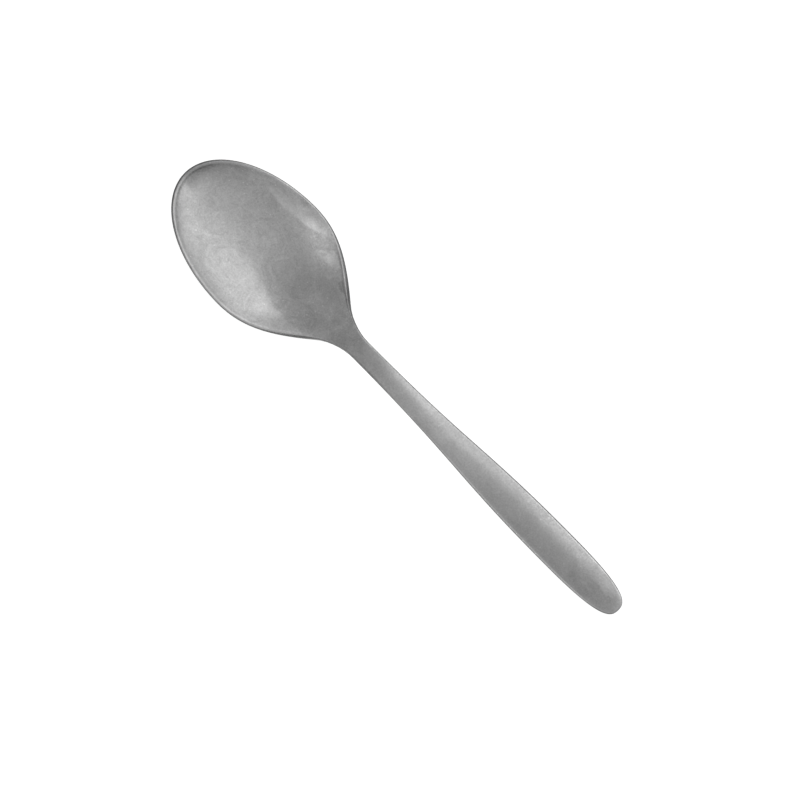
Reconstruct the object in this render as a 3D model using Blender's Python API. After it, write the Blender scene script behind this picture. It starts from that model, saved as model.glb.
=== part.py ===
"""Teaspoon, pressed in one piece from stainless steel of graded thickness.

Metres, +Z up. The spoon lies on a table at z = 0, on the belly of its bowl and on its handle end, whose
back is flattened there. Its length runs along X, with the bowl tip at +X, and the origin is under mid-length.

A place on the spoon is given by two numbers: station, the distance back from the bowl tip along the
length, and side, the distance from the centre line. A height field over them gives the pressed sheet.
The face lies on that sheet, the back lies a wall below it, and a rounded edge joins the two all round.
"""

import math

import bmesh
import bpy
from mathutils import Vector

# Sizes in plan
LENGTH = 0.140  # bowl tip to handle end
BOWL_WIDTH = 0.0313  # across the rim at the widest place
NECK_WIDTH = 0.0050  # across the narrowest place
HANDLE_WIDTH = 0.0091  # across the widest place of the handle
TIP_REACH = 0.0258  # from the widest place of the bowl to the rim at its tip
NECK_REACH = 0.0299  # from the widest place of the bowl back to the narrowest place of the neck
END_REACH = 0.0203  # from the widest place of the handle to its end
END_FULLNESS = 2.9  # exponent of the handle end's round: 2 is an ellipse, more is blunter
BOWL_TO_NECK = (0.46, 0.37)  # Bezier handles of that stretch of outline, as shares of its length
NECK_TO_HANDLE = (0.53, 0.44)
EVEN_HANDLES = (1 / 3, 1 / 3)  # these give a plain smooth step

# Sizes in height
BOWL_DEPTH = 0.0062  # rim to floor at the widest place
RIM_ANGLE = math.radians(43)  # slope of the bowl's wall at the rim, at the widest place
TIP_DROP = 0.0015  # rim at the tip, below the rim at the widest place
TIP_CURL = 2.0  # added at the tip to the dish's exponent of 2: the wall curls up more steeply there
TIP_CURL_POWER = 5  # more keeps the curl closer to the tip
DISH_REACH = 0.0230  # from the widest place back to where the dish runs out in the neck
CREST_HEIGHT = 0.0165  # edge of the handle above the table at the top of its arch
CREST_REACH = 0.0540  # from the widest place of the bowl back to the top of the arch
END_HEIGHT = 0.0010  # edge of the handle above the table at its end
CROWN_HEIGHT = 0.0007  # middle of the handle's face above its edges
NECK_RISE = (0.55, 0.50)  # Bezier handles of the climb from the rim to the top of the arch
END_FALL = 0.35  # share of the fall from there that steepens up to the end: at 0 the end lies level

# Thickness of the sheet, square to it
BOWL_WALL = 0.0010
RIM_WALL = 0.0008
NECK_WALL = 0.0020
END_WALL = 0.0016  # before its back is flattened
EDGE_ROUND = 0.00035  # how far the rounded edge stands out beyond the face
EDGE_SQUARENESS = 3.0  # exponent of the edge's section: 2 is an ellipse, more is squarer

# Facets
TIP_ROWS = 16
NECK_ROWS = 17
HANDLE_ROWS = 22
END_ROWS = 14
COLUMNS = 20
EDGE_FACETS = 6
BISECTIONS = 40
SLOPE_STEP = 1e-5  # half of the step over which slopes of the sheet are measured

STEEL_COLOUR = (0.53, 0.53, 0.53, 1.0)
STEEL_ROUGHNESS = 0.42


def overhang(thickness, slope):
    """How far the rounded edge of a wall of that slope reaches past the face, in plan."""
    across = thickness / 2 * math.sin(slope)
    power = EDGE_SQUARENESS / (EDGE_SQUARENESS - 1)
    return across + ((EDGE_ROUND * math.cos(slope)) ** power + across**power) ** (1 / power)


# Outline of the face, inside the rounded edge
BOWL_HALF = BOWL_WIDTH / 2 - overhang(RIM_WALL, RIM_ANGLE)
NECK_HALF = NECK_WIDTH / 2 - EDGE_ROUND
HANDLE_HALF = HANDLE_WIDTH / 2 - EDGE_ROUND
TIP_CLIMB = math.tan(RIM_ANGLE) * BOWL_HALF * (1 + TIP_CURL / 2)  # over a length of TIP_REACH
TIP_ANGLE = math.atan((TIP_CLIMB - 2 * TIP_DROP) / TIP_REACH)

# Stations
WIDEST = overhang(RIM_WALL, TIP_ANGLE) + TIP_REACH
DISH_END = WIDEST + DISH_REACH
NECK = WIDEST + NECK_REACH
CREST = WIDEST + CREST_REACH
END = LENGTH - EDGE_ROUND
HANDLE_WIDEST = END - END_REACH

RIM_HEIGHT = BOWL_DEPTH + BOWL_WALL  # puts the belly on the table
# The dish is the cap of an ellipsoid, cut off at this share of its height for the slope at the rim.
DISH_CUT = 1 / (math.tan(RIM_ANGLE) * BOWL_HALF / BOWL_DEPTH - 1)


def ease(share, handles=EVEN_HANDLES):
    """S-curve from 0 to 1: a Bezier curve whose level handles have these lengths."""
    share = min(max(share, 0.0), 1.0)
    low, high = 0.0, 1.0
    for _ in range(BISECTIONS):
        t = (low + high) / 2
        place = 3 * (1 - t) ** 2 * t * handles[0] + 3 * (1 - t) * t * t * (1 - handles[1]) + t**3
        if place < share:
            low = t
        else:
            high = t
    return t * t * (3 - 2 * t)


def between(station, start, end, first, last, handles=EVEN_HANDLES):
    """A size that eases from first, at the start station, to last, at the end station."""
    return first + (last - first) * ease((station - start) / (end - start), handles)


def half_width(station):
    """Half of the face's width."""
    if station < WIDEST:
        toward_tip = min((WIDEST - station) / TIP_REACH, 1.0)
        return BOWL_HALF * math.sqrt(1 - toward_tip**2)
    if station < NECK:
        return between(station, WIDEST, NECK, BOWL_HALF, NECK_HALF, BOWL_TO_NECK)
    if station < HANDLE_WIDEST:
        return between(station, NECK, HANDLE_WIDEST, NECK_HALF, HANDLE_HALF, NECK_TO_HANDLE)
    toward_end = min((station - HANDLE_WIDEST) / END_REACH, 1.0)
    return HANDLE_HALF * (1 - toward_end**END_FULLNESS) ** (1 / END_FULLNESS)


def width_share(station, side):
    """Where side lies between the centre line, 0, and the edge of the face, 1 or -1."""
    half = half_width(station)
    return side / half if half > 0 else 0.0


def edge_height(station):
    """Height of the rim and of the handle's edges, which is the spoon's outline seen from the side."""
    if station < WIDEST:
        return RIM_HEIGHT - TIP_DROP * ((WIDEST - station) / TIP_REACH) ** 2
    if station < CREST:
        return between(station, WIDEST, CREST, RIM_HEIGHT, CREST_HEIGHT, NECK_RISE)
    share = min((station - CREST) / (END - CREST), 1.0)
    fall = (1 - END_FALL) * ease(share) + END_FALL * share**2
    return CREST_HEIGHT + (END_HEIGHT - CREST_HEIGHT) * fall


def dish_openness(station, side):
    """1 in the middle of the dish, falling to 0 at its rim and where it runs out in the neck."""
    if station < WIDEST:
        toward_tip = (WIDEST - station) / TIP_REACH
        from_middle = math.hypot(toward_tip, side / BOWL_HALF)
        return 1 - from_middle ** (2 + TIP_CURL * toward_tip**TIP_CURL_POWER)
    toward_neck = min((station - WIDEST) / DISH_REACH, 1.0)
    along = (1 - toward_neck**2) ** 2 * (1 + toward_neck**2)
    return along * (1 - width_share(station, side) ** 2)


def sheet_height(station, side):
    """Height of the pressed sheet, before the handle's face is crowned."""
    openness = dish_openness(station, side)
    chord = math.sqrt(DISH_CUT**2 + (1 - DISH_CUT**2) * openness)
    return edge_height(station) - BOWL_DEPTH * (1 + DISH_CUT) * openness / (chord + DISH_CUT)


def crown(station, side):
    """How far the handle's face swells above the sheet."""
    toward_end = min(max((station - HANDLE_WIDEST) / END_REACH, 0.0), 1.0)
    along = ease((station - DISH_END) / (CREST - DISH_END)) * (1 - toward_end**2)
    return CROWN_HEIGHT * along * (1 - width_share(station, side) ** 2)


def wall(station, side):
    """Thickness of the sheet: thin at the rim, thickest in the neck."""
    if station < NECK:
        bowl = RIM_WALL + (BOWL_WALL - RIM_WALL) * max(dish_openness(station, side), 0.0)
        return between(station, WIDEST, NECK, bowl, NECK_WALL)
    return between(station, NECK, END, NECK_WALL, END_WALL)


def sheet_point(station, side):
    return Vector((LENGTH / 2 - station, side, sheet_height(station, side)))


def sheet_normal(station, side):
    step = SLOPE_STEP
    along = (sheet_height(station - step, side) - sheet_height(station + step, side)) / (2 * step)
    across = (sheet_height(station, side + step) - sheet_height(station, side - step)) / (2 * step)
    return Vector((-along, -across, 1)).normalized()


def face_point(station, side):
    return sheet_point(station, side) + crown(station, side) * sheet_normal(station, side)


def on_table(point):
    """Flattens what would reach below the table."""
    return Vector((point.x, point.y, max(point.z, 0.0)))


def back_point(station, side):
    return on_table(sheet_point(station, side) - wall(station, side) * sheet_normal(station, side))


def edge_point(station, side, outward, turn):
    """A point on the rounded edge: turn runs from 0 at the face to pi at the back."""
    normal = sheet_normal(station, side)
    lateral = (outward - outward.dot(normal) * normal).normalized()
    out = EDGE_ROUND * math.sin(turn) ** (2 / EDGE_SQUARENESS)
    level = math.copysign(abs(math.cos(turn)) ** (2 / EDGE_SQUARENESS), math.cos(turn))
    drop = wall(station, side) / 2 * (1 - level)
    return on_table(sheet_point(station, side) + out * lateral - drop * normal)


def end_row(widest, reach, share, columns):
    """A row of the blank across a round end. It curves until it lies along the outline, at share 1."""
    row = []
    for column in columns:
        along = share * math.sqrt(1 - column**2 / 2)
        across = column * math.sqrt(1 - share**2 / 2)
        station = widest + reach * along
        chord = math.sqrt(max(1 - along**2, 0.0))
        row.append((station, across / chord * half_width(station) if chord > 0 else 0.0))
    return row


def straight_row(station, columns):
    return [(station, column * half_width(station)) for column in columns]


def blank_rows():
    """The flat blank as rows of (station, side), from the bowl tip to the handle end."""
    columns = [2 * i / COLUMNS - 1 for i in range(COLUMNS + 1)]
    rows = [end_row(WIDEST, -TIP_REACH, 1 - i / TIP_ROWS, columns) for i in range(TIP_ROWS)]
    for first, last, count in ((WIDEST, NECK, NECK_ROWS), (NECK, HANDLE_WIDEST, HANDLE_ROWS)):
        rows += [straight_row(first + (last - first) * i / count, columns) for i in range(count)]
    rows += [end_row(HANDLE_WIDEST, END_REACH, i / END_ROWS, columns) for i in range(END_ROWS + 1)]
    return rows


def border(rows):
    """The places round the edge of a grid of rows, in order."""
    right = [row[-1] for row in rows[1:-1]]
    left = [row[0] for row in rows[-2:0:-1]]
    return rows[0] + right + rows[-1][::-1] + left


def outward_directions(places):
    """Level directions square to the outline at each place round it."""
    directions = []
    for i in range(len(places)):
        before, after = places[i - 1], places[(i + 1) % len(places)]
        along_x, along_y = before[0] - after[0], after[1] - before[1]
        directions.append(Vector((along_y, -along_x, 0)).normalized())
    return directions


def add_sheet(mesh, rows, point_at):
    """A grid of faces through the rows. It returns its border's vertices."""
    grid = [[mesh.verts.new(point_at(*place)) for place in row] for row in rows]
    for near, far in zip(grid, grid[1:]):
        for i in range(len(near) - 1):
            mesh.faces.new((near[i], near[i + 1], far[i + 1], far[i]))
    return border(grid)


def add_band(mesh, ring, next_ring):
    """A band of faces between two closed rings of vertices."""
    for i in range(len(ring)):
        mesh.faces.new((ring[i - 1], ring[i], next_ring[i], next_ring[i - 1]))


def add_spoon(mesh):
    rows = blank_rows()
    places = border(rows)
    outward = outward_directions(places)
    rings = [add_sheet(mesh, rows, face_point)]
    for facet in range(1, EDGE_FACETS):
        turn = math.pi * facet / EDGE_FACETS
        points = [edge_point(*place, out, turn) for place, out in zip(places, outward)]
        rings.append([mesh.verts.new(point) for point in points])
    rings.append(add_sheet(mesh, rows, back_point))
    for ring, next_ring in zip(rings, rings[1:]):
        add_band(mesh, ring, next_ring)
    bmesh.ops.recalc_face_normals(mesh, faces=mesh.faces)


def steel():
    material = bpy.data.materials.new("stonewashed_steel")
    material.use_nodes = True
    shader = material.node_tree.nodes["Principled BSDF"]
    shader.inputs["Base Color"].default_value = STEEL_COLOUR
    shader.inputs["Metallic"].default_value = 1.0
    shader.inputs["Roughness"].default_value = STEEL_ROUGHNESS
    return material


def main():
    for old in list(bpy.data.objects):
        bpy.data.objects.remove(old)
    shape = bmesh.new()
    add_spoon(shape)
    mesh = bpy.data.meshes.new("teaspoon")
    shape.to_mesh(mesh)
    shape.free()
    mesh.materials.append(steel())
    mesh.shade_smooth()
    bpy.context.scene.collection.objects.link(bpy.data.objects.new("teaspoon", mesh))


main()
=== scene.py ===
import math

import bpy
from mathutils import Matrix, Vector


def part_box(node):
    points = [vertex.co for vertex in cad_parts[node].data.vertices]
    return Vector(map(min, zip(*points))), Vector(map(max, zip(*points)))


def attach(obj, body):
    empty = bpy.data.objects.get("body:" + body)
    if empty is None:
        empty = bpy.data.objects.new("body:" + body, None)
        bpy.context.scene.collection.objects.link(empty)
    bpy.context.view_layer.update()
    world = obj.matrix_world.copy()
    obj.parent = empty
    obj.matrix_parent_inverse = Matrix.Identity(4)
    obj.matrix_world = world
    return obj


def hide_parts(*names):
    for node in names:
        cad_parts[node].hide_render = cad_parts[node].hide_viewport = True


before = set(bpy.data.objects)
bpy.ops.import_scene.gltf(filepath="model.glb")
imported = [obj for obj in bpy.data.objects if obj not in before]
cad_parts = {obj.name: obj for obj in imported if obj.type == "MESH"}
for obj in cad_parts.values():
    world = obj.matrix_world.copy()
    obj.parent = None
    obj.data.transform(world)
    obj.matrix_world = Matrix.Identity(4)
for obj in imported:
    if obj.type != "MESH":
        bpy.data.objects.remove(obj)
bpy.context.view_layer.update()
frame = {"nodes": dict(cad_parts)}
print("frame loaded:", ", ".join(frame["nodes"]))


# Sizes of the spoon in metres. Station is the distance back from the bowl tip, side the distance
# from the centre line. The overall width and the place of the tip come from the frame.
spoon = {
    "length": 0.1400,
    "neckWidth": 0.0050,
    "handleWidth": 0.0091,
    "tipReach": 0.0258,  # widest place of the bowl to its tip
    "neckReach": 0.0299,  # widest place of the bowl back to the neck
    "endReach": 0.0203,  # widest place of the handle to its end
    "endFullness": 2.9,  # 2 is an ellipse, more is blunter
    "bowlToNeck": (0.46, 0.37),  # curve handles of the outline, as shares of the stretch
    "neckToHandle": (0.53, 0.44),
    "bowlDepth": 0.0062,
    "rimAngle": math.radians(43),  # slope of the wall at the rim
    "tipDrop": 0.0015,
    "tipCurl": 2.0,  # the wall curls up more steeply at the tip
    "tipCurlPower": 5,  # more keeps that closer to the tip
    "dishReach": 0.0230,  # widest place back to where the dish runs out
    "crestHeight": 0.0165,  # top of the handle's arch
    "crestReach": 0.0540,
    "endHeight": 0.0010,
    "endFall": 0.35,  # at 0 the end of the handle lies level
    "crownHeight": 0.0007,
    "neckRise": (0.55, 0.50),  # curve handles of the climb to the top
    "bowlWall": 0.0010,
    "rimWall": 0.0008,
    "neckWall": 0.0020,
    "endWall": 0.0016,
    "edgeRound": 0.00035,
    "edgeSquareness": 3.0,  # 2 is an ellipse, more is squarer
    "tipRows": 20,
    "neckRows": 22,
    "handleRows": 30,
    "endRows": 14,
    "columns": 24,
    "edgeCuts": 5,  # loops between the face and the back
    # painted highlights and painted shade along the two sides of the edge: stations with the change of
    # tone there
    "edgeHighlightAndShade": {
        "left": [(0.000, -0.58), (0.014, -0.45), (0.024, -0.14), (0.030, 0.0), (0.038, 0.6),
                 (0.044, 0.6), (0.054, 0.0), (0.080, 0.0), (0.100, 0.3), (0.130, 0.3), (0.138, 0.0)],
        "right": [(0.000, -0.58), (0.003, -0.42), (0.008, -0.22), (0.016, -0.12), (0.024, 0.0),
                  (0.060, 0.0), (0.085, 0.38), (0.130, 0.38), (0.138, 0.0)],
    },
    # painted highlights and painted shade on the two corners of the edge, station by station
    "cornerHighlightAndShade": {
        "left": [(0.000, 0.10), (0.014, 0.16), (0.030, 0.06), (0.044, 0.06), (0.055, -0.42),
                 (0.062, -0.42), (0.076, 0.10), (0.119, 0.85), (0.130, 0.85), (0.138, 0.15)],
        "right": [(0.000, 0.10), (0.008, 0.14), (0.016, 0.10), (0.025, -0.05), (0.032, -0.05),
                  (0.042, -0.36), (0.047, -0.48), (0.051, -0.40), (0.056, 0.00), (0.119, 0.24)],
    },
    "backInset": 1.0,  # written on the back, far more than any inset of the face
    "smoothLevels": 1,
}
evenHandles = (1 / 3, 1 / 3)
slopeStep = 1e-5  # slopes are measured over this
halvings = 40  # steps of the search along an eased curve
slack = 0.01  # places on the blank are compared within this


def overhang(thickness, slope):
    across = thickness / 2 * math.sin(slope)
    power = spoon["edgeSquareness"] / (spoon["edgeSquareness"] - 1)
    return across + ((spoon["edgeRound"] * math.cos(slope)) ** power + across**power) ** (1 / power)


# places worked out from the sizes
cadLow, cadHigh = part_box("teaspoon")
tipX = cadHigh.x
bowlHalf = (cadHigh.y - cadLow.y) / 2 - overhang(spoon["rimWall"], spoon["rimAngle"])
neckHalf = spoon["neckWidth"] / 2 - spoon["edgeRound"]
handleHalf = spoon["handleWidth"] / 2 - spoon["edgeRound"]
tipClimb = math.tan(spoon["rimAngle"]) * bowlHalf * (1 + spoon["tipCurl"] / 2)
tipAngle = math.atan((tipClimb - 2 * spoon["tipDrop"]) / spoon["tipReach"])
widestStation = overhang(spoon["rimWall"], tipAngle) + spoon["tipReach"]
dishEnd = widestStation + spoon["dishReach"]
neckStation = widestStation + spoon["neckReach"]
crestStation = widestStation + spoon["crestReach"]
endStation = spoon["length"] - spoon["edgeRound"]
handleWidest = endStation - spoon["endReach"]
rimHeight = spoon["bowlDepth"] + spoon["bowlWall"]
dishCut = 1 / (math.tan(spoon["rimAngle"]) * bowlHalf / spoon["bowlDepth"] - 1)


def ease(share, handles=evenHandles):  # S-curve with level ends
    share = min(max(share, 0.0), 1.0)
    low, high = 0.0, 1.0
    for _ in range(halvings):
        t = (low + high) / 2
        place = 3 * (1 - t) ** 2 * t * handles[0] + 3 * (1 - t) * t * t * (1 - handles[1]) + t**3
        if place < share:
            low = t
        else:
            high = t
    return t * t * (3 - 2 * t)


def between(station, start, end, first, last, handles=evenHandles):
    return first + (last - first) * ease((station - start) / (end - start), handles)


def halfWidth(station):
    if station < widestStation:
        towardTip = min((widestStation - station) / spoon["tipReach"], 1.0)
        return bowlHalf * math.sqrt(1 - towardTip**2)
    if station < neckStation:
        return between(station, widestStation, neckStation, bowlHalf, neckHalf, spoon["bowlToNeck"])
    if station < handleWidest:
        return between(station, neckStation, handleWidest, neckHalf, handleHalf, spoon["neckToHandle"])
    towardEnd = min((station - handleWidest) / spoon["endReach"], 1.0)
    return handleHalf * (1 - towardEnd ** spoon["endFullness"]) ** (1 / spoon["endFullness"])


def widthShare(station, side):
    half = halfWidth(station)
    return side / half if half > 0 else 0.0


def edgeHeight(station):  # the rim and the handle's edges, seen from the side
    if station < widestStation:
        return rimHeight - spoon["tipDrop"] * ((widestStation - station) / spoon["tipReach"]) ** 2
    if station < crestStation:
        return between(
            station, widestStation, crestStation, rimHeight, spoon["crestHeight"], spoon["neckRise"]
        )
    share = min((station - crestStation) / (endStation - crestStation), 1.0)
    fall = (1 - spoon["endFall"]) * ease(share) + spoon["endFall"] * share**2
    return spoon["crestHeight"] + (spoon["endHeight"] - spoon["crestHeight"]) * fall


def dishOpenness(station, side):  # 1 in the middle of the dish, 0 at its rim
    if station < widestStation:
        towardTip = (widestStation - station) / spoon["tipReach"]
        fromMiddle = math.hypot(towardTip, side / bowlHalf)
        return 1 - fromMiddle ** (2 + spoon["tipCurl"] * towardTip ** spoon["tipCurlPower"])
    towardNeck = min((station - widestStation) / spoon["dishReach"], 1.0)
    return (1 - towardNeck**2) ** 2 * (1 + towardNeck**2) * (1 - widthShare(station, side) ** 2)


def sheetHeight(station, side):
    openness = dishOpenness(station, side)
    chord = math.sqrt(dishCut**2 + (1 - dishCut**2) * openness)
    return edgeHeight(station) - spoon["bowlDepth"] * (1 + dishCut) * openness / (chord + dishCut)


def crownRise(station, side):  # swell of the handle's face
    towardEnd = min(max((station - handleWidest) / spoon["endReach"], 0.0), 1.0)
    along = ease((station - dishEnd) / (crestStation - dishEnd)) * (1 - towardEnd**2)
    return spoon["crownHeight"] * along * (1 - widthShare(station, side) ** 2)


def wallAt(station, side):
    if station < neckStation:
        openness = max(dishOpenness(station, side), 0.0)
        bowl = spoon["rimWall"] + (spoon["bowlWall"] - spoon["rimWall"]) * openness
        return between(station, widestStation, neckStation, bowl, spoon["neckWall"])
    return between(station, neckStation, endStation, spoon["neckWall"], spoon["endWall"])


def sheetNormal(station, side):
    ahead, behind = sheetHeight(station - slopeStep, side), sheetHeight(station + slopeStep, side)
    left, right = sheetHeight(station, side + slopeStep), sheetHeight(station, side - slopeStep)
    return Vector((behind - ahead, right - left, 2 * slopeStep)).normalized()


def outwardAt(station, side):  # level direction square to the outline
    across = math.copysign(1.0, side)
    if station < widestStation:
        towardTip = (widestStation - station) / spoon["tipReach"]
        return Vector((towardTip / spoon["tipReach"], side / bowlHalf**2, 0)).normalized()
    if station < handleWidest:
        behind, ahead = halfWidth(station + slopeStep), halfWidth(station - slopeStep)
        return Vector(((behind - ahead) / (2 * slopeStep), across, 0)).normalized()
    fullness = spoon["endFullness"] - 1
    towardEnd = (station - handleWidest) / spoon["endReach"]
    sideways = (abs(side) / handleHalf) ** fullness / handleHalf
    return Vector((-(towardEnd**fullness) / spoon["endReach"], across * sideways, 0)).normalized()


def roundEndPlace(widest, reach, share, column):  # rows bend until the last lies along the outline
    along = share * math.sqrt(1 - column**2 / 2)
    across = column * math.sqrt(1 - share**2 / 2)
    chord = math.sqrt(max(1 - along**2, 0.0))
    station = widest + reach * along
    return station, across / chord * halfWidth(station) if chord > slack else 0.0


def blankPlace(row, column):  # row counts from the tip, column runs from -1 to 1
    if row < spoon["tipRows"]:
        return roundEndPlace(widestStation, -spoon["tipReach"], 1 - row / spoon["tipRows"], column)
    row -= spoon["tipRows"]
    if row < spoon["neckRows"]:
        station = widestStation + spoon["neckReach"] * row / spoon["neckRows"]
        return station, column * halfWidth(station)
    row -= spoon["neckRows"]
    if row < spoon["handleRows"]:
        station = neckStation + (handleWidest - neckStation) * row / spoon["handleRows"]
        return station, column * halfWidth(station)
    row -= spoon["handleRows"]
    return roundEndPlace(handleWidest, spoon["endReach"], row / spoon["endRows"], column)


def pressedPoint(row, column, depth):  # depth is 0 on the face and 1 on the back
    station, side = blankPlace(row, column)
    normal = sheetNormal(station, side)
    point = Vector((tipX - station, side, sheetHeight(station, side)))
    if depth < slack:
        return point + crownRise(station, side) * normal
    if depth > 1 - slack:
        point -= wallAt(station, side) * normal
    else:
        outward = outwardAt(station, side)
        lateral = (outward - outward.dot(normal) * normal).normalized()
        out, level = math.sin(math.pi * depth), math.cos(math.pi * depth)
        out = spoon["edgeRound"] * out ** (2 / spoon["edgeSquareness"])
        level = math.copysign(abs(level) ** (2 / spoon["edgeSquareness"]), level)
        point += out * lateral - wallAt(station, side) / 2 * (1 - level) * normal
    point.z = max(point.z, 0.0)  # flattened where it lies on the table
    return point


def stopped(stops, station):  # eased from stop to stop
    value = stops[0][1]
    for (start, first), (end, last) in zip(stops, stops[1:]):
        if station > start:
            value = between(station, start, end, first, last)
    return value


def paintedEdgeTone(station, side, depth):  # painted highlights and painted shade on the two corners, and on the edge below the face
    hand = "left" if side > 0 else "right"
    fromFace = min(depth, 1 - depth)
    corner = stopped(spoon["cornerHighlightAndShade"][hand], station) * (1 - 2 * fromFace)
    return corner + stopped(spoon["edgeHighlightAndShade"][hand], station) * min(2 * depth, 1.0)


def makeSpoon():
    rowCount = spoon["tipRows"] + spoon["neckRows"] + spoon["handleRows"] + spoon["endRows"]
    bpy.ops.object.select_all(action="DESELECT")
    bpy.ops.mesh.primitive_grid_add(
        x_subdivisions=rowCount, y_subdivisions=spoon["columns"], size=2
    )
    piece = bpy.context.object
    piece.name = "pressedSpoon"
    mesh = piece.data
    # each point keeps its place on the blank: row, column, depth
    blank = mesh.attributes.new("blank", "FLOAT_VECTOR", "POINT")
    for vertex in mesh.vertices:
        row = round((1 - vertex.co.x) / 2 * rowCount)
        blank.data[vertex.index].vector = (row, vertex.co.y, 0)

    # the blank's thickness: the back is drawn out of the face, and loops are cut round its edge
    bpy.ops.object.mode_set(mode="EDIT")
    bpy.ops.mesh.select_all(action="SELECT")
    bpy.ops.mesh.extrude_region_move(TRANSFORM_OT_translate={"value": (0, 0, -1)})
    bpy.ops.object.mode_set(mode="OBJECT")
    blank = mesh.attributes["blank"]
    for vertex in mesh.vertices:
        blank.data[vertex.index].vector.z = 1.0 if vertex.co.z < -0.5 else 0.0
    for item in (*mesh.polygons, *mesh.vertices):
        item.select = False
    for edge in mesh.edges:
        first, second = (mesh.vertices[i].co.z for i in edge.vertices)
        edge.select = abs(first - second) > 0.5
    bpy.ops.object.mode_set(mode="EDIT")
    bpy.ops.mesh.select_mode(type="EDGE")
    bpy.ops.mesh.subdivide(number_cuts=spoon["edgeCuts"])
    bpy.ops.object.mode_set(mode="OBJECT")

    # pressed to shape
    places = [Vector(item.vector) for item in mesh.attributes["blank"].data]
    for vertex, place in zip(mesh.vertices, places):
        vertex.co = pressedPoint(round(place.x), place.y, place.z)
    # the finish reads the painted highlights and painted shade of the edge, and how far inside it a
    # point of the face lies
    onBorder = [abs(place.y) > 1 - slack or round(place.x) in (0, rowCount) for place in places]
    plan = [blankPlace(round(place.x), place.y) for place in places]
    border = {spot for spot, isBorder in zip(plan, onBorder) if isBorder}
    for name in ("paintedEdgeLight", "inset"):
        mesh.attributes.new(name, "FLOAT", "POINT")
    paintedEdgeLight, inset = mesh.attributes["paintedEdgeLight"].data, mesh.attributes["inset"].data
    for index, (spot, place) in enumerate(zip(plan, places)):
        if onBorder[index]:
            paintedEdgeLight[index].value = paintedEdgeTone(*spot, place.z)
        elif place.z < slack:
            inset[index].value = min(math.dist(spot, other) for other in border)
        else:
            inset[index].value = spoon["backInset"]
    mesh.attributes.remove(mesh.attributes["blank"])
    bpy.ops.object.mode_set(mode="EDIT")
    bpy.ops.mesh.select_all(action="SELECT")
    bpy.ops.mesh.normals_make_consistent(inside=False)
    bpy.ops.object.mode_set(mode="OBJECT")

    smooth = piece.modifiers.new("smooth", "SUBSURF")
    smooth.levels = smooth.render_levels = spoon["smoothLevels"]
    bpy.ops.object.modifier_apply(modifier="smooth")
    bpy.ops.object.shade_smooth()
    print("spoon pressed:", len(piece.data.polygons), "faces")
    return piece


class Wire:  # a shader socket that works in Python expressions
    def __init__(self, finish, socket):
        self.finish = finish
        self.socket = socket

    def math(self, operation, first, second):
        return self.finish.node("ShaderNodeMath", {"operation": operation}, {0: first, 1: second})

    def __add__(self, other):
        return self.math("ADD", self, other)

    def __radd__(self, other):
        return self.math("ADD", other, self)

    def __sub__(self, other):
        return self.math("SUBTRACT", self, other)

    def __rsub__(self, other):
        return self.math("SUBTRACT", other, self)

    def __mul__(self, other):
        return self.math("MULTIPLY", self, other)

    def __rmul__(self, other):
        return self.math("MULTIPLY", other, self)


class Finish:  # the nodes of a material or of the room
    def __init__(self, owner, shader):
        owner.use_nodes = True
        self.owner = owner
        self.nodes = owner.node_tree.nodes
        self.links = owner.node_tree.links
        self.shader = self.nodes[shader]

    def feed(self, socket, value):
        if isinstance(value, Wire):
            self.links.new(value.socket, socket)
        else:
            socket.default_value = value

    def node(self, kind, settings, sockets, output=0):
        made = self.nodes.new(kind)
        for name, value in settings.items():
            setattr(made, name, value)
        for name, value in sockets.items():
            self.feed(made.inputs[name], value)
        return Wire(self, made.outputs[output])

    def surface(self, **sockets):
        for name, value in sockets.items():
            self.feed(self.shader.inputs[name], value)


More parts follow.
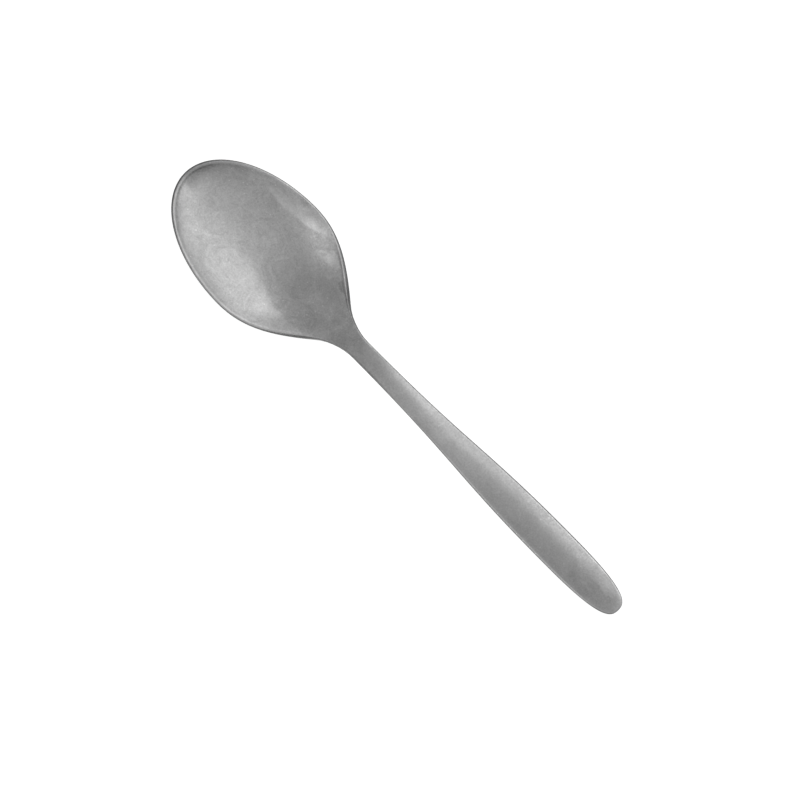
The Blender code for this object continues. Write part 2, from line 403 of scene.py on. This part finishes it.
# Depths are changes of tone, as shares of it, and lengths are in metres. A pair of limits says
# where something sets in and where it is full.
steel = {
    "tone": 0.52,
    "roughness": 0.42,
    "roughnessSwing": 0.25,  # lighter places are smoother
    # noises: scale per metre, layers, weight of the finer layers, swirl
    "washNoise": (230, 4, 0.85, 1.0),
    "washDepth": 0.68,  # mottling from the stone wash
    "washHandle": 0.65,  # share of that on the handle
    "bowlStart": (-0.010, 0.020),
    "patchNoise": (55, 1, 0.5),
    "patchDepth": 0.10,
    "grainNoise": (2600, 2, 0.7),
    "grainDepth": 0.55,
    "grainHeight": 0.00003,
    "bumpStrength": 0.6,
    "speckScale": 620,
    "speckRadius": (0.06, 0.16),  # in cells of the pattern
    "speckPlaces": (0.0, 0.12),  # dots only where wash and patches are light
    "speckDepth": 0.30,
    "scuffTurns": (35, 80, -20),  # degrees from the length of the spoon
    "scuffSize": (0.007, 0.0003, 0.007),  # along, across and through the sheet
    "scuffNoise": (1, 1, 0.5),  # scale counted in sizes
    "scuffLimits": (0.62, 0.74),
    "scuffPatchNoise": (90, 1, 0.5),
    "scuffPatchLimits": (0.50, 0.62),
    "scuffDepth": 0.08,
    "scuffDip": 0.5,  # share in the bump
    "faceStart": (0.0, 0.0004),  # insets at which marks set in
    "backStart": (0.5, 0.9),  # insets between the face's and the back's
    "rimShade": (0.0, 0.00045, 0.0010),  # insets of the painted shade line inside the rim: from, darkest, to
    "rimShadeDepth": -0.16,
    "rimShadeStart": (0.032, 0.040),
    "rimShadeTip": -0.20,  # added at the tip
    "tipStart": (0.062, 0.069),
    "rimShadeRight": 0.2,  # share of the line left on the right
    "rimShadeSides": (-0.012, 0.0),
    "handleHighlightWidth": 0.0012,  # painted highlight: the light line along the left of the handle
    "handleHighlightDepth": 0.16,
    "handleHighlightStart": (-0.069, -0.062),
    "handleHighlightEnd": (-0.025, -0.005),
    "handleHighlightSide": (0.0, 0.002),
    "markNoise": (3, 2, 0.6),  # scale counted in sizes of the mark
    "strokeFade": (-0.5, 0.7),  # across the stroke, in half sizes
    # smudges, painted highlights and painted shade: middle, half sizes, degrees from the length,
    # depth, and how crisp the border is
    "smudgesAndPaintedLight": [
        {"at": (0.0378, 0.0078), "size": (0.0050, 0.0026), "turn": -20, "depth": 0.08, "crisp": 0.2},
        {"at": (0.0318, -0.0104), "size": (0.0055, 0.0022), "turn": 20, "depth": 0.17, "crisp": 0.3},
        {"at": (0.0655, 0.0010), "size": (0.0045, 0.0045), "turn": 0, "depth": 0.10, "crisp": 0.2},
        {"at": (0.0255, -0.0077), "size": (0.0026, 0.0018), "turn": 10, "depth": -0.32, "crisp": 0.55},
        {"at": (0.0170, 0.0003), "size": (0.0065, 0.0065), "turn": 0, "depth": -0.20, "crisp": 0.2},
        {"at": (0.0678, -0.0040), "size": (0.0042, 0.0012), "turn": 63, "depth": -0.24, "crisp": 0.2},
        {"at": (-0.0648, -0.0020), "size": (0.0050, 0.0018), "turn": 0, "depth": 0.14, "crisp": 0.2},
        {"at": (-0.0650, 0.0016), "size": (0.0110, 0.0038), "turn": 0, "depth": -0.15, "crisp": 0.2},
    ],
    # painted reflection and painted shade in the bowl, strong along one long border and fading away
    # from it
    "paintedLightStrokes": [
        {"at": (0.0448, -0.0129), "size": (0.0125, 0.0026), "turn": 7.4, "depth": 0.22, "crisp": 0.6},
        {"at": (0.0300, 0.0005), "size": (0.0140, 0.0069), "turn": 0, "depth": -0.12, "crisp": 0.92},
    ],
}


def stonewashedSteel():
    finish = Finish(bpy.data.materials.new("stonewashedSteel"), "Principled BSDF")
    place = finish.node("ShaderNodeTexCoord", {}, {}, "Object")

    def noise(where, scale, layers, fineness, swirl=0):
        return finish.node(
            "ShaderNodeTexNoise",
            {},
            {
                "Vector": where,
                "Scale": scale,
                "Detail": layers,
                "Roughness": fineness,
                "Distortion": swirl,
            },
        )

    def sway(where, *settings):  # noise that swings about 0
        return noise(where, *settings) - 0.5

    def above(value, limits):
        return finish.node(
            "ShaderNodeMapRange",
            {"interpolation_type": "SMOOTHSTEP"},
            {"Value": value, "From Min": limits[0], "From Max": limits[1]},
        )

    def turned(middle, turn, size):  # places counted in sizes along and across a turned mark
        rotation = (0, 0, math.radians(turn))
        return finish.node(
            "ShaderNodeMapping",
            {"vector_type": "TEXTURE"},
            {"Vector": place, "Location": middle, "Rotation": rotation, "Scale": size},
        )

    def coordinate(where, axis):
        return finish.node("ShaderNodeSeparateXYZ", {}, {"Vector": where}, axis)

    def attribute(name):
        return finish.node("ShaderNodeAttribute", {"attribute_name": name}, {}, "Fac")

    along, across = coordinate(place, "X"), coordinate(place, "Y")
    # the edge attribute carries painted highlights and painted shade along the edge
    inset, paintedEdgeLight = attribute("inset"), attribute("paintedEdgeLight")
    onBowl = above(along, steel["bowlStart"])
    onFace = above(inset, steel["faceStart"]) * (1 - above(inset, steel["backStart"]))
    wash = sway(place, *steel["washNoise"])
    wash = wash * (onBowl * (1 - steel["washHandle"]) + steel["washHandle"])
    patch = sway(place, *steel["patchNoise"])
    grain = sway(place, *steel["grainNoise"])

    # bright dots where a stone has struck
    cells = {"Vector": place, "Scale": steel["speckScale"]}
    dots = finish.node("ShaderNodeTexVoronoi", {}, cells, "Distance")
    specks = (1 - above(dots, steel["speckRadius"])) * above(patch + wash, steel["speckPlaces"])

    # fine scuffs in a few directions, each in patches of its own
    scuffs = 0
    patchScale, *patchLayers = steel["scuffPatchNoise"]
    for turn in steel["scuffTurns"]:
        lines = noise(turned((0, 0, 0), turn, steel["scuffSize"]), *steel["scuffNoise"])
        patches = noise(place, patchScale + turn, *patchLayers)
        scuffed = above(lines, steel["scuffLimits"]) * above(patches, steel["scuffPatchLimits"])
        scuffs = scuffed + scuffs

    # smudges, painted highlights and painted shade fade out unevenly
    smudgesAndPaintedLight = 0
    for smudgeAndPaintedLight in steel["smudgesAndPaintedLight"] + steel["paintedLightStrokes"]:
        inside = turned((*smudgeAndPaintedLight["at"], 0), smudgeAndPaintedLight["turn"], (*smudgeAndPaintedLight["size"], 1))
        away = finish.node("ShaderNodeVectorMath", {"operation": "LENGTH"}, {0: inside}, "Value")
        ragged = sway(inside, *steel["markNoise"]) * (2 * (1 - smudgeAndPaintedLight["crisp"]))
        shape = 1 - above(away + ragged, (smudgeAndPaintedLight["crisp"], 1.0))
        if smudgeAndPaintedLight in steel["paintedLightStrokes"]:
            shape = shape * above(coordinate(inside, "Y"), steel["strokeFade"])
        smudgesAndPaintedLight = shape * smudgeAndPaintedLight["depth"] + smudgesAndPaintedLight
    smudgesAndPaintedLight = smudgesAndPaintedLight * onFace

    # painted shade: the dark line inside the rim of the bowl, stronger at the tip
    start, darkest, end = steel["rimShade"]
    atTip, onLeft = above(along, steel["tipStart"]), above(across, steel["rimShadeSides"])
    rimShade = above(inset, (start, darkest)) * (1 - above(inset, (darkest, end)))
    rimShade = rimShade * above(along, steel["rimShadeStart"])
    rimShade = rimShade * (atTip * steel["rimShadeTip"] + steel["rimShadeDepth"])
    rimShade = rimShade * (onLeft * (1 - steel["rimShadeRight"]) + steel["rimShadeRight"])

    # painted highlight along the left edge of the handle
    handleHighlight = above(along, steel["handleHighlightStart"]) * (1 - above(along, steel["handleHighlightEnd"]))
    handleHighlight = handleHighlight * (1 - above(inset, (0.0, steel["handleHighlightWidth"])))
    handleHighlight = handleHighlight * above(across, steel["handleHighlightSide"]) * steel["handleHighlightDepth"]

    swing = (
        wash * steel["washDepth"]
        + grain * steel["grainDepth"]
        + patch * steel["patchDepth"]
        + specks * steel["speckDepth"]
        + scuffs * steel["scuffDepth"]
        + paintedEdgeLight
        + rimShade
        + handleHighlight
        + smudgesAndPaintedLight
    )
    tone = (swing + 1) * steel["tone"]
    colour = finish.node("ShaderNodeCombineColor", {}, {"Red": tone, "Green": tone, "Blue": tone})
    relief = grain + wash - scuffs * steel["scuffDip"]
    bump = finish.node(
        "ShaderNodeBump",
        {},
        {"Height": relief, "Strength": steel["bumpStrength"], "Distance": steel["grainHeight"]},
    )
    finish.surface(**{
        "Base Color": colour,
        "Metallic": 1.0,
        "Roughness": steel["roughness"] - swing * steel["roughnessSwing"],
        "Normal": bump,
    })
    print("finish made:", finish.owner.name)
    return finish.owner


stage = {
    "floorSize": 8.0,
    "floorGap": 0.00005,
    "floorColour": (0.35, 0.35, 0.35, 1),
    "floorRoughness": 0.9,
    "floorGlow": 0.9,
    "skyGrey": 0.37,
    "wallGrey": 0.13,  # dark round the horizon, which gives the rim its dark line
    "tableGrey": 0.35,  # added straight below
    "skyline": (0.0, 0.4),  # heights of the direction over which the room fades
    "tableline": (-0.9, -0.45),
    "lightDistance": 0.32,
    "lights": [  # place in degrees round and above the spoon, half angle it fills, brightness
        {"name": "keyPanel", "azimuth": 255, "elevation": 45, "halfAngle": 30, "brightness": 0.59},
        {"name": "topPanelNear", "azimuth": 270, "elevation": 60, "halfAngle": 30, "brightness": 0.12},
        {"name": "topPanelFar", "azimuth": 120, "elevation": 75, "halfAngle": 30, "brightness": 0.30},
        {"name": "fillPanel", "azimuth": 300, "elevation": 30, "halfAngle": 30, "brightness": 0.31},
        {"name": "handlePanel", "azimuth": 210, "elevation": 30, "halfAngle": 12, "brightness": 1.33},
        {"name": "tipPanel", "azimuth": 0, "elevation": 15, "halfAngle": 12, "brightness": 0.35},
        {"name": "lowPanelNear", "azimuth": 300, "elevation": 15, "halfAngle": 20, "brightness": 0.89},
        {"name": "lowPanelFar", "azimuth": 60, "elevation": 15, "halfAngle": 20, "brightness": 0.86},
        {"name": "lowPanelWall", "azimuth": 90, "elevation": 15, "halfAngle": 20, "brightness": 0.19},
    ],
    # where the photograph shows the two ends of the spoon, in pixels of its square frame
    "tipPixel": (184.7, 172.6),
    "endPixel": (618.6, 610.6),
    "imageSize": 800,
    "lens": 400,
    "sensor": 36,
    "clipStart": 0.01,
}


def makeFloor():
    bpy.ops.object.select_all(action="DESELECT")
    bpy.ops.mesh.primitive_plane_add(size=stage["floorSize"], location=(0, 0, -stage["floorGap"]))
    floor = bpy.context.object
    floor.name = "floor"
    finish = Finish(bpy.data.materials.new("paleFloor"), "Principled BSDF")
    finish.surface(**{
        "Base Color": stage["floorColour"],
        "Roughness": stage["floorRoughness"],
        "Emission Color": (1, 1, 1, 1),
        "Emission Strength": stage["floorGlow"],
    })
    floor.data.materials.append(finish.owner)
    floor.visible_glossy = False  # the steel mirrors the grey room, not the lit sheet it lies on
    print("floor laid")


def makeLights():
    world = bpy.data.worlds.new("studio")
    bpy.context.scene.world = world
    sky = Finish(world, "Background")
    direction = sky.node("ShaderNodeTexCoord", {}, {}, "Generated")
    height = sky.node("ShaderNodeSeparateXYZ", {}, {"Vector": direction}, "Z")

    def fade(limits, first, last):
        low, high = limits
        return sky.node(
            "ShaderNodeMapRange",
            {"interpolation_type": "SMOOTHSTEP"},
            {"Value": height, "From Min": low, "From Max": high, "To Min": first, "To Max": last},
        )

    room = fade(stage["skyline"], stage["wallGrey"], stage["skyGrey"])
    table = fade(stage["tableline"], stage["tableGrey"], 0)
    sky.surface(Color=(1, 1, 1, 1), Strength=room + table)
    for row in stage["lights"]:
        azimuth, elevation = math.radians(row["azimuth"]), math.radians(row["elevation"])
        level = math.cos(elevation)
        toward = Vector((level * math.cos(azimuth), level * math.sin(azimuth), math.sin(elevation)))
        bpy.ops.object.light_add(type="AREA", location=toward * stage["lightDistance"])
        light = bpy.context.object
        light.name = row["name"]
        light.rotation_euler = toward.to_track_quat("Z", "Y").to_euler()
        light.visible_camera = False
        radius = stage["lightDistance"] * math.tan(math.radians(row["halfAngle"]))
        light.data.shape = "DISK"
        light.data.size = 2 * radius
        light.data.energy = row["brightness"] * math.pi**2 * radius**2
    print("lights placed:", len(stage["lights"]))


def makeCamera():
    tip, end = Vector(stage["tipPixel"]), Vector(stage["endPixel"])
    middle = Vector((stage["imageSize"] / 2, stage["imageSize"] / 2))
    run = (end - tip).normalized()
    across = Vector((-run.y, run.x))
    # where the two ends lie along the run, from the middle of the frame, and how high they stand
    tipAlong, endAlong = (tip - middle).dot(run), (end - middle).dot(run)
    tipHeight, endHeight = edgeHeight(0.0), spoon["endHeight"]
    focal = stage["lens"] / stage["sensor"] * stage["imageSize"]
    height = focal * spoon["length"] + endAlong * endHeight - tipAlong * tipHeight
    height /= endAlong - tipAlong
    back = -tipAlong * (height - tipHeight) / focal
    side = (middle - tip).dot(across) * (height - tipHeight) / focal
    bpy.ops.object.camera_add(
        location=(tipX - back, side, height), rotation=(0, 0, math.pi + math.atan2(run.y, run.x))
    )
    camera = bpy.context.object
    camera.data.lens = stage["lens"]
    camera.data.sensor_width = stage["sensor"]
    camera.data.clip_start = stage["clipStart"]
    bpy.context.scene.camera = camera
    print("camera height:", round(height, 4))


spoonPiece = makeSpoon()
spoonPiece.data.materials.clear()
spoonPiece.data.materials.append(stonewashedSteel())
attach(spoonPiece, "root")
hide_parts("teaspoon")
makeFloor()
makeLights()
makeCamera()
bpy.context.scene.view_settings.view_transform = "Standard"
